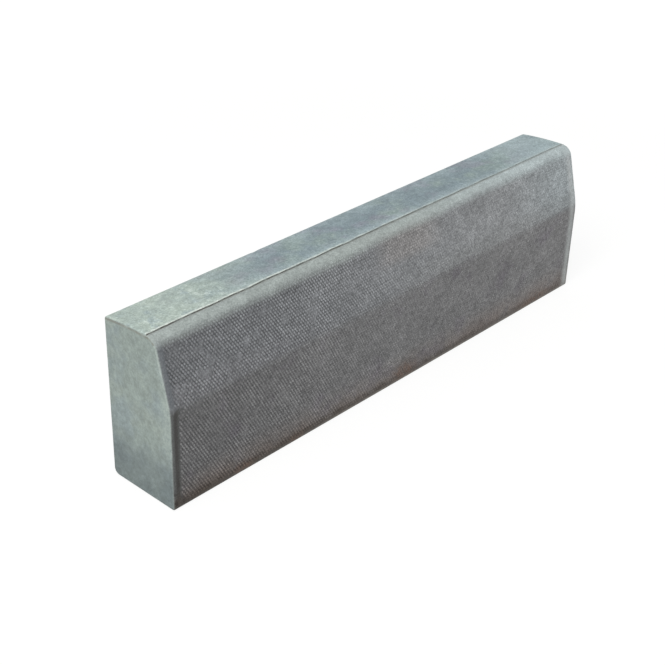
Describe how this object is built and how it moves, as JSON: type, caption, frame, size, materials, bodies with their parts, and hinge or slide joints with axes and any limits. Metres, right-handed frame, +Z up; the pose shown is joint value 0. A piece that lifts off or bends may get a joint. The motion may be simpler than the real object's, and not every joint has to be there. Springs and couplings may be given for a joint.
{
  "type": "concrete kerb stone",
  "caption": "Half batter concrete kerb: upright road face, battered upper face, rounded nosing, fine seam along the top, square ends and a flat bed.",
  "frame": {"origin": "middle of the bed, on the ground", "axes": "+X along the kerb, -Y towards the road face, +Z up"},
  "size_m": [0.915, 0.125, 0.255],
  "materials": {
    "concrete": "matt pressed concrete, pale on top, grey and stained on the road face"
  },
  "bodies": {
    "root": {"kerb_stone": "concrete"}
  },
  "joints": []
}
